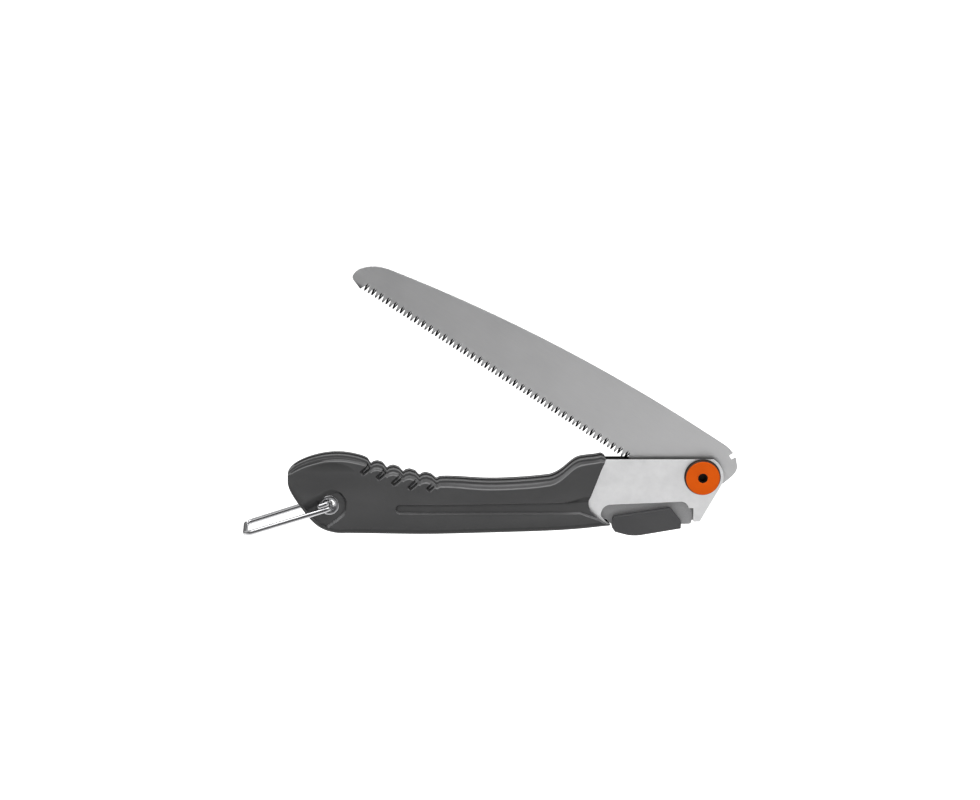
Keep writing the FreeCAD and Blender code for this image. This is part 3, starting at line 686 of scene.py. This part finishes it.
def band_depth(form, x, z):
    """Depth of the shallow band along the side: crisp edges, a round left end, fading at the V front."""
    left = joint_place("loop_swing")[0] + BAND_LEFT
    right = form.front(BAND_LEVEL)
    lower, upper = band_edges(form, x)
    soft = 0.35 + 3.0 * ramp((x - left) / (right - left), BAND_FADE, 1.0)
    corner = np.clip(x - left, 0, BAND_CORNER) / BAND_CORNER
    bend = BAND_CORNER * (1 - np.sqrt(1 - (1 - corner) ** 2))
    inside = ramp(upper - bend - z, -soft, 0.2) * ramp(z - lower - bend, -0.6, 0.3)
    return BAND_DEPTH * inside * ramp(x - left, -0.25, 0.05)


def dish_depth(away, z):
    """Depth of the hollow in the heel, away being the distance along from the eyelet."""
    above = z - DISH_PLACE[1]
    reach = np.where(above < 0, DISH_FOOT, DISH_HALF[1])
    far = np.hypot((away - DISH_PLACE[0]) / DISH_HALF[0], above / reach)
    crisp = ramp(above, -3.0, 3.0)
    return DISH_DEPTH * (crisp * np.clip(1 - far ** 2, 0, 1) + (1 - crisp) * (1 - ramp(far, 0.0, 1.0)))


def slot_depth(away, z):
    """Depth of the slanted grip slots, each with a low rib along its middle."""
    depth = np.zeros_like(away)
    for middle, height in GRIP_SLOTS:
        dx, dz = away - middle, z - height
        along = dx * math.cos(SLOT_TURN) + dz * math.sin(SLOT_TURN)
        across = dx * math.sin(SLOT_TURN) - dz * math.cos(SLOT_TURN)
        pit = SLOT_DEPTH * (1 - ramp(rounded_box(along, across, *SLOT_HALF, SLOT_CORNER), -0.4, 0.1))
        rib = 1 - ramp(np.abs(along), *span(SLOT_RIB[0]))
        rib = rib * (1 - ramp(np.abs(across), *span(SLOT_RIB[1])))
        depth = np.maximum(depth, pit - SLOT_RIB[2] * rib)
    return depth


def relief(form, x, z, y):
    """Moves the outer surface in for the grip slots, the band, the heel's dish and the eyelet scoop."""
    eye_x, eye_z = joint_place("loop_swing")
    px, pz = x - eye_x, z - eye_z
    moved = y - slot_depth(px, z) - band_depth(form, x, z) - dish_depth(px, z)
    ahead = SCOOP_AHEAD[0] * px + SCOOP_AHEAD[1] * pz
    aside = -SCOOP_AHEAD[1] * px + SCOOP_AHEAD[0] * pz
    radius = np.hypot(px, pz)
    far = np.where(ahead > 0, np.abs(aside), radius)
    upper_left = (SCOOP_AHEAD[0] * px - SCOOP_AHEAD[1] * pz) / np.maximum(radius, 0.1)
    softness = SCOOP_EDGE[0] + SCOOP_EDGE[1] * np.clip(upper_left, 0, 1)
    scoop = 1 - ramp(far, RECESS_RADIUS - softness, RECESS_RADIUS)
    return moved + (np.minimum(moved, RECESS_FLOOR) - moved) * scoop


def upright_rows(form):
    """Cross-sections from the heel to the stretch that follows the V front: lists of x, y and z."""
    eye_x = joint_place("loop_swing")[0]
    fine_start = eye_x + GRIP_SLOTS[0][0] - SLOT_MARGIN
    fine_end = eye_x + GRIP_SLOTS[-1][0] + SLOT_MARGIN
    heel = form.left + HEEL_START + HEEL_ROUND * np.linspace(0, 1, 26) ** 1.6
    coarse = np.arange(heel[-1] + COARSE_STEP, fine_start, COARSE_STEP)
    fine = np.arange(fine_start, fine_end, FINE_STEP)
    waist = np.arange(fine_end, form.start - 0.2, WAIST_STEP)
    rows = []
    for x in np.concatenate([heel, coarse, fine, waist]):
        pairs = shell_section(form, x)
        rows.append((np.full(len(pairs), x), pairs[:, 0], pairs[:, 1]))
    return rows


def bent_rows(form):
    """Cross-sections that bend step by step from upright into the V front, its edge rounded."""
    grid = np.arange(form.start - 1, form.front_line[1].max() + 0.3, FINE_STEP)
    table = np.array([shell_section(form, x) for x in grid])
    tops = np.interp(grid, *form.top_line)
    bottoms = np.interp(grid, *form.bottom_line)
    low_z, high_z = form.front_line[0][0], form.front_line[0][-1]
    index = np.arange(table.shape[1])
    rows = []
    for share in np.concatenate([np.linspace(0, FRONT_SHARE - 0.005, 56), np.linspace(FRONT_SHARE, 1.0, 9)]):
        x = np.full(table.shape[1], form.start + (FRONT_GUESS - form.start) * share)
        for _ in range(6):
            place = np.clip((x - grid[0]) / FINE_STEP, 0, len(grid) - 1.001)
            lower = place.astype(int)
            part = (place - lower)[:, None]
            pairs = table[lower, index] * (1 - part) + table[lower + 1, index] * part
            floor_z = np.interp(x, grid, bottoms)
            height = np.clip((pairs[:, 1] - floor_z) / (np.interp(x, grid, tops) - floor_z), 0, 1)
            x = form.start + (form.front(low_z + height * (high_z - low_z)) - form.start) * share
        edge = max(0.0, (share - FRONT_SHARE) / (1 - FRONT_SHARE))
        inset = FRONT_ROUND * (1 - math.sqrt(max(0.0, 1 - edge * edge)))
        outward = ramp(pairs[:, 0], form.plate_side + 0.6, form.plate_side + 2.0)
        rows.append((x, pairs[:, 0] - inset * outward, pairs[:, 1]))
    return rows


def shell_columns(form):
    """Arrays of x, y and z, one row per cross-section and one column per point of it."""
    rows = upright_rows(form) + bent_rows(form)
    return [np.array([row[k] for row in rows]) for k in range(3)]


def end_faces(y, z, start):
    """Closes one end of a shell: level strips from side to inner wall, then the top and the bottom."""
    count = len(y)
    side_last = SIDE_FIRST + SIDE_POINTS - 1
    wall_last = count - 2
    wall_first = wall_last - SIDE_POINTS + 1
    faces = []
    for k in range(SIDE_POINTS - 1):
        out, inn = SIDE_FIRST + k, wall_last - k
        faces.append((start + out, start + out + 1, start + inn - 1, start + inn))
    upper = list(range(side_last, wall_first + 1))
    lower = list(range(wall_last, count)) + list(range(SIDE_FIRST + 1))
    for places in (upper, lower):
        loop = [Vector((y[k], z[k], 0)) for k in places]
        faces += [tuple(start + places[k] for k in triple) for triple in tessellate_polygon([loop])]
    return faces


def handle_shell(form, side, columns):
    """One moulded half of the handle, mirrored for the far side, with its holes cut."""
    sign = SIDES[side]
    x, y, z = [c.copy() for c in columns]
    ridge = SIDE_FIRST + SIDE_POINTS + RIDGE_STEPS
    outer = slice(SIDE_FIRST, ridge)
    shelf = slice(ridge, ridge + SHELF_STEPS)
    y[:, outer] = relief(form, x[:, outer], z[:, outer], y[:, outer])
    y[:, shelf] = np.minimum(y[:, shelf], y[:, [ridge - 1]])
    count = x.shape[1]
    points = np.stack([x, sign * y, z], axis=2).reshape(-1, 3)
    faces = []
    for row in range(len(x) - 1):
        faces += strip(row * count, (row + 1) * count, count)
    for row in (0, len(x) - 1):
        faces += end_faces(y[row], z[row], row * count)
    node = "handle_shell_" + side
    shell = piece(node + "_moulded", points, faces, "handle", HANDLE_PLASTIC, node, 32)
    cutters = [bar_cutter(joint_place("loop_swing"), EYELET_HOLE, -OUTSIDE, OUTSIDE)]
    if side == "far":
        cutters += [bar_cutter((c[0], c[1]), SCREW_RECESS, c[2], OUTSIDE) for c in screw_places()]
    return pierced(shell, cutters)


def screw_places():
    """(x, z, seat) of each shell screw, from the separate islands of the CAD node's mesh."""
    built = welded(frame["nodes"]["shell_screws"].data)
    left = set(built.verts)
    places = []
    while left:
        stack = [left.pop()]
        island = []
        while stack:
            vert = stack.pop()
            island.append(vert)
            for edge in vert.link_edges:
                other = edge.other_vert(vert)
                if other in left:
                    left.remove(other)
                    stack.append(other)
        spots = np.array([v.co for v in island]) / MM
        middle = (spots.min(0) + spots.max(0)) / 2
        places.append((middle[0], middle[2], spots[:, 1].max() - SCREW_HEAD))
    built.free()
    return sorted(places)


def bar_cutter(centre, radius, low, high):
    """A round bar across the saw, used only to cut with."""
    segments = 64
    turns = [2 * math.pi * k / segments for k in range(segments)]
    ends = [[(centre[0] + radius * math.cos(t), y, centre[1] + radius * math.sin(t)) for t in turns]
            for y in (low, high)]
    faces = strip(0, segments, segments)
    faces += [tuple(range(segments))[::-1], tuple(range(segments, 2 * segments))]
    return placed("cutter", closed_mesh("cutter", ends[0] + ends[1], faces))


def pierced(obj, cutters):
    """Cuts the holes for good, so that the mesh itself carries them."""
    for cutter in cutters:
        cut = obj.modifiers.new("hole", "BOOLEAN")
        cut.operation = "DIFFERENCE"
        cut.solver = "EXACT"
        cut.object = cutter
    bpy.context.view_layer.update()
    graph = bpy.context.evaluated_depsgraph_get()
    mesh = bpy.data.meshes.new_from_object(obj.evaluated_get(graph))
    obj.modifiers.clear()
    obj.data = mesh
    for cutter in cutters:
        bpy.data.objects.remove(cutter)
    shade(mesh, 32)
    return obj


# ---- blade ----
HEADINGS = (140, 152)  # the half-open blade points somewhere between these, in degrees
VALLEY_HALF = 0.2  # half the flat at the bottom of each gullet
# Where a tooth's point, shoulders and gullets end on its ground face: sideways from the tooth's middle,
# and back from the tooth line.
GROUND = ((0.0, 2.6), (0.15, 3.1), (0.5, 5.2))
EDGE_CHAMFER = 0.12  # broken edge everywhere else
SKIN = 0.02  # thickness of the sharp-edged layer under each face, at the teeth


def outline_loops(node, plane_y):
    """Ordered boundary loops of the CAD face that lies in a plane of constant y, in millimetres."""
    built = welded(frame["nodes"][node].data)
    flat = {f for f in built.faces if all(abs(v.co.y / MM - plane_y) < 0.01 for v in f.verts)}
    rim = [e for e in built.edges if sum(f in flat for f in e.link_faces) == 1]
    near = {}
    for edge in rim:
        for vert in edge.verts:
            near.setdefault(vert, []).append(edge.other_vert(vert))
    loops = []
    while near:
        start = next(iter(near))
        loop = [start]
        before, here = None, start
        while True:
            step = next((v for v in near[here] if v is not before), None)
            if step is None or step is start:
                break
            loop.append(step)
            before, here = here, step
        for vert in loop:
            near.pop(vert, None)
        loops.append(np.array([(v.co.x, v.co.z) for v in loop]) / MM)
    built.free()
    return sorted(loops, key=len, reverse=True)


def split_valleys(outer, along, down):
    """The outline with two points in each gullet; for each point its tooth, its rank and its side.

    The rank is 0 for a tooth's point, 1 for a shoulder and 2 for a gullet; the tooth is -1 elsewhere.
    """
    u, v = outer @ along, outer @ down
    line = v.max()
    count = len(outer)
    tips = [k for k in range(count) if v[k] > line - 0.05 and max(v[k - 2], v[(k + 2) % count]) < line - 2]
    rows = []
    owners = {}
    for number, tip in enumerate(sorted(tips, key=lambda k: u[k])):
        for rank in (0, 1, 2):
            for step in (-rank, rank):
                owners.setdefault((tip + step) % count, {})[step] = (number, rank, tip)
    for k in range(count):
        if k not in owners:
            rows.append((outer[k], -1, 0, 0))
            continue
        found = sorted(owners[k].items(), reverse=True)
        first_step, (_, first_rank, _) = found[0]
        outermost = len(found) == 1 and first_rank == 2
        if outermost and first_step < 0:
            rows.append((outer[k], -1, 0, 0))
        for step, (number, rank, tip) in found:
            side = float(np.sign(u[k] - u[tip]))
            shift = VALLEY_HALF if rank == 2 else 0.0
            rows.append((outer[k] - along * side * shift, number, rank, side))
        if outermost and first_step > 0:
            rows.append((outer[k], -1, 0, 0))
    return [np.array(column) for column in zip(*rows)]


def ground_ring(ring, tooth, rank, side, along, down, parity):
    """One face of the blade: every second tooth is ground back there and the plain edges are broken."""
    ground = ring.copy()
    plain = tooth < 0
    ground[plain] += inward_normals(ring)[plain] * EDGE_CHAMFER
    u = ring @ along
    line = (ring @ down).max()
    for number in range(parity, tooth.max() + 1, 2):
        middle = u[(tooth == number) & (rank == 0)][0]
        for k in np.flatnonzero(tooth == number):
            aside, back = GROUND[rank[k]]
            ground[k] = along * (middle + side[k] * aside) + down * (line - back)
    return ground


def cap(points, rim, hole):
    """Triangles that fill a flat outline with one hole, both given as ranges of points."""
    lookup = list(rim) + list(hole)
    loops = [[Vector((points[k][0], points[k][2], 0)) for k in run] for run in (rim, hole)]
    return [tuple(lookup[k] for k in triple) for triple in tessellate_polygon(loops)]


def saw_blade():
    """The blade with its teeth ground to alternate bevels and its other edges broken."""
    low = box_mm("saw_blade")[0]
    half = -low[1]
    outer, bore = outline_loops("saw_blade", low[1])[:2]
    heading = blade_heading(outer)
    along = np.array([math.cos(heading), math.sin(heading)])
    down = np.array([-math.sin(heading), math.cos(heading)])
    outer, tooth, rank, side = split_valleys(outer, along, down)
    near, far = [ground_ring(outer, tooth, rank, side, along, down, parity) for parity in (0, 1)]
    toothed = tooth >= 0
    under = np.where(toothed, half - SKIN, half - EDGE_CHAMFER)
    near_under, far_under = [np.where(toothed[:, None], face, outer) for face in (near, far)]
    rings = ((near, -half), (near_under, -under), (far_under, under), (far, half))
    points, faces = blade_mesh(rings, bore, half)
    steel = blade_steel(along, down, (outer @ down).max())
    blade = piece("saw_blade_ground", points, faces, "blade", steel, "saw_blade", 12)
    blade.data.materials.append(TOOTH_STEEL)
    for k in range(len(outer)):
        if toothed[k] and tooth[k] == tooth[(k + 1) % len(outer)]:
            blade.data.polygons[len(outer) + k].material_index = 1


def blade_mesh(rings, bore, half):
    """Points and faces from four outlines across the thickness and the pivot hole.

    The first faces are three strips round the rim, with a face for each point of the outline.
    """
    points = []
    for ring, level in rings:
        level = np.broadcast_to(level, len(ring))
        points += [(p[0], y, p[1]) for p, y in zip(ring, level)]
    sides = len(points)
    points += [(p[0], -half, p[1]) for p in bore] + [(p[0], half, p[1]) for p in bore]
    count = sides // 4
    faces = []
    for ring in range(3):
        faces += strip(ring * count, (ring + 1) * count, count)
    size = len(bore)
    faces += strip(sides, sides + size, size)
    faces += cap(points, range(count), range(sides, sides + size))
    faces += cap(points, range(3 * count, 4 * count), range(sides + size, sides + 2 * size))
    return points, faces


def inward_normals(loop):
    """Unit normals that point into a closed outline."""
    before, after = np.roll(loop, 1, axis=0), np.roll(loop, -1, axis=0)
    run = after - before
    normal = np.stack([-run[:, 1], run[:, 0]], axis=1)
    normal /= np.maximum(np.linalg.norm(normal, axis=1), 1e-9)[:, None]
    area = np.sum(loop[:, 0] * after[:, 1] - after[:, 0] * loop[:, 1])
    return normal if area > 0 else -normal


def blade_heading(outer):
    """Direction of the line that touches the most tooth points."""
    best = (0, 0.0)
    for angle in np.radians(np.arange(*HEADINGS, 0.05)):
        level = outer @ np.array([-math.sin(angle), math.cos(angle)])
        score = np.sum(level > level.max() - 0.04)
        best = max(best, (score, angle))
    return best[1]


# ---- knob, eyelet and washer ----
KNOB_RIM = 1.0  # rounding of the knob's outer front edge
KNOB_HOLE = 2.65  # radius of the hole for the key
# Its rounded mouth and the slightly dished face: outwards from the hole's edge, back from the face.
KNOB_MOUTH = ((0.0, 0.75), (0.1, 0.42), (0.35, 0.25), (0.75, 0.18), (3.55, 0.06))
KNOB_CAVITY = 7.45  # hollow behind the face, for the bolt's head
# the painted shade round the knob's side reaches this far in from the rim and back from the face
KNOB_DARK_EDGE = 0.4  # width of the dark rim round the side
WASHER_HOLE = 4.05
WASHER_CHAMFER = 0.2
EYELET_BORE = 3.25
EYELET_TUBE = 3.9  # outer radius of its tube
EYELET_DOME = 0.8  # height of its rolled rim


def tension_knob():
    """Orange cap with a key hole, its side wall and the hole's wall painted in shade."""
    pivot = joint_place("blade_fold")
    low, high = box_mm("tension_knob")
    radius = (high[0] - low[0]) / 2
    face, seat = low[1], high[1]
    rim = quarter((radius - KNOB_RIM, face + KNOB_RIM), KNOB_RIM, -90, 7)
    profile = [(KNOB_HOLE, seat - 0.5)] + [(KNOB_HOLE + out, face + back) for out, back in KNOB_MOUTH] + rim
    profile += [(radius, seat), (KNOB_CAVITY, seat), (KNOB_CAVITY, seat - 2.0)]
    knob = lathe("tension_knob_cap", profile, pivot, ORANGE_PLASTIC, "tension_knob")
    knob.data.materials.append(KNOB_WALL)
    # painted shade on the side wall and the key hole's wall
    for part in knob.data.polygons:
        reach = math.hypot(part.center.x / MM - pivot[0], part.center.z / MM - pivot[1])
        behind = part.center.y / MM > face + KNOB_DARK_EDGE
        if reach < KNOB_HOLE + 0.05 or (reach > radius - KNOB_DARK_EDGE and behind):
            part.material_index = 1


def knob_washer():
    """The dark ring that the knob turns on."""
    low, high = box_mm("knob_washer")
    radius = (high[0] - low[0]) / 2
    profile = [(WASHER_HOLE, low[1]), (radius - WASHER_CHAMFER, low[1]), (radius, low[1] + WASHER_CHAMFER)]
    profile += [(radius, high[1]), (WASHER_HOLE, high[1])]
    lathe("knob_washer_ring", profile, joint_place("blade_fold"), BLACK_WASHER, "knob_washer")


def eyelet():
    """Rolled tubular rivet with a bright domed rim on both sides."""
    low, high = box_mm("hang_eyelet")
    radius = (high[0] - low[0]) / 2
    seat = high[1] - EYELET_DOME
    half_wide = (radius - EYELET_BORE) / 2
    dome = [(EYELET_BORE + half_wide + half_wide * math.cos(t), seat + EYELET_DOME * math.sin(t))
            for t in np.linspace(0, math.pi, 13)]
    upper = [(EYELET_TUBE, seat)] + dome
    lower = [(r, -y) for r, y in reversed(upper)]
    lathe("hang_eyelet_rolled", upper + lower, joint_place("loop_swing"), CHROME, "hang_eyelet")


form = HandleForm()
columns = shell_columns(form)
for side_name in SIDES:
    handle_shell(form, side_name, columns)
    plate_node = "side_plate_" + side_name
    cad_copy(plate_node, plate_node + "_tumbled", "handle", PLATE_STEEL, 0.45)
saw_blade()
tension_knob()
knob_washer()
eyelet()
cad_copy("lock_lever", "lock_lever_cast", "lock", LEVER_METAL, 0.3)
cad_copy("lock_button", "lock_button_moulded", "lock", BUTTON_PLASTIC, 0.8, 4)
smooth_copy("hang_loop", "hang_loop_polished", "loop", CHROME)

KEPT = {"spacer_bar": PLAIN_STEEL, "frame_rivets": PLAIN_STEEL, "pivot_bolt": BLACK_BOLT,
        "thrust_washer_near": WASHER_BRONZE, "thrust_washer_far": WASHER_BRONZE,
        "spring_washer": SPRING_STEEL, "pivot_nut": PLAIN_STEEL, "shell_screws": DARK_SCREW,
        "lock_spring": SPRING_STEEL}
for node_name, material in KEPT.items():
    mesh = frame["nodes"][node_name].data
    mesh.materials.clear()
    mesh.materials.append(material)


# ---- floor, light and camera ----
VIEW_AZIMUTH = math.radians(-2.0)
VIEW_ROLL = math.radians(0.3)
VIEW_ELEVATION = math.radians(12.0)
VIEW_DISTANCE = 2.128
VIEW_LENS = 139.6
AIM_SHIFT = (-0.1193, 0.0440)  # the camera aims this far right of and above the knob, in its own view
LIGHT_AIM = (-0.08, 0, 0)
FLOOR_DROP = 0.30
FLOOR_REACH = 14
SKY_TONES = ((0, 0.16), (1, 0.5), (0.18, 0.10), (0.45, 0.42))  # (share of the way up, brightness)


def camera():
    """Looks at the saw from the knob side, a little from above, with the knob right of the middle."""
    back = Vector((math.sin(VIEW_AZIMUTH) * math.cos(VIEW_ELEVATION),
                   -math.cos(VIEW_AZIMUTH) * math.cos(VIEW_ELEVATION), math.sin(VIEW_ELEVATION)))
    rotation = back.to_track_quat("Z", "Y") @ Quaternion((0, 0, 1), VIEW_ROLL)
    right, up = rotation @ Vector((1, 0, 0)), rotation @ Vector((0, 1, 0))
    low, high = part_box("tension_knob")
    target = Vector(((low.x + high.x) / 2, low.y, (low.z + high.z) / 2))
    target += right * AIM_SHIFT[0] + up * AIM_SHIFT[1]
    data = bpy.data.cameras.new("camera")
    data.lens = VIEW_LENS
    data.sensor_width = 36
    data.clip_end = 60
    obj = placed("camera", data)
    obj.location = target + back * VIEW_DISTANCE
    obj.rotation_mode = "QUATERNION"
    obj.rotation_quaternion = rotation
    bpy.context.scene.camera = obj


def area_light(name, place, size, power):
    data = bpy.data.lights.new(name, "AREA")
    data.shape = "RECTANGLE"
    data.size, data.size_y = size
    data.energy = power
    obj = placed(name, data)
    obj.location = place
    obj.rotation_mode = "QUATERNION"
    obj.rotation_quaternion = (Vector(LIGHT_AIM) - Vector(place)).to_track_quat("-Z", "Y")


def floor():
    """Pale ground that glows a little for the camera, so that it shows as clean white."""
    drop = cad_box[0][2] - FLOOR_DROP
    mesh = bpy.data.meshes.new("floor")
    corners = [(x * FLOOR_REACH, y * FLOOR_REACH, drop) for x, y in ((-1, -1), (1, -1), (1, 1), (-1, 1))]
    mesh.from_pydata(corners, [], [(0, 1, 2, 3)])
    n = Nodes("pale_floor")
    mottle = n.noise(0.004, detail=2)
    colour = n.mix(n.spread(mottle), [0.90, 0.90, 0.90], [0.93, 0.93, 0.93])
    mesh.materials.append(n.finish(colour, 0.7))
    n.shader.inputs["Emission Color"].default_value = (1, 1, 1, 1)
    paths = n.add("ShaderNodeLightPath")
    glow = n.spread(paths.outputs["Is Camera Ray"], 0.10, 0.9, 0.0, 1.0)
    n.plug(glow, n.shader.inputs["Emission Strength"])
    placed("floor", mesh)


def world():
    """White for the camera; for reflections, bright above and darker towards the horizon."""
    sky = bpy.data.worlds.new("studio")
    bpy.context.scene.world = sky
    sky.use_nodes = True
    sky.node_tree.nodes.clear()
    add, link = sky.node_tree.nodes.new, sky.node_tree.links.new
    output = add("ShaderNodeOutputWorld")
    seen = add("ShaderNodeBackground")
    seen.inputs["Color"].default_value = (1, 1, 1, 1)
    around = add("ShaderNodeBackground")
    place = add("ShaderNodeTexCoord")
    split = add("ShaderNodeSeparateXYZ")
    bands = add("ShaderNodeValToRGB")
    steps = bands.color_ramp.elements
    for share, tone in SKY_TONES:
        step = steps[int(share)] if share in (0, 1) else steps.new(share)
        step.color = (tone, tone, tone, 1)
    paths = add("ShaderNodeLightPath")
    choose = add("ShaderNodeMixShader")
    link(place.outputs["Generated"], split.inputs["Vector"])
    link(split.outputs["Z"], bands.inputs["Fac"])
    link(bands.outputs["Color"], around.inputs["Color"])
    link(paths.outputs["Is Camera Ray"], choose.inputs["Fac"])
    link(around.outputs["Background"], choose.inputs[1])
    link(seen.outputs["Background"], choose.inputs[2])
    link(choose.outputs["Shader"], output.inputs["Surface"])


camera()
floor()
world()
area_light("key", (-0.9, -1.5, 1.5), (1.2, 1.0), 11)
area_light("fill", (1.2, -1.6, 0.5), (1.0, 1.0), 3.5)
area_light("back", (0.1, 1.4, 1.4), (1.4, 0.8), 7)
area_light("top", (-0.1, -0.35, 1.7), (1.6, 0.5), 15)
bpy.context.scene.view_settings.view_transform = "Standard"
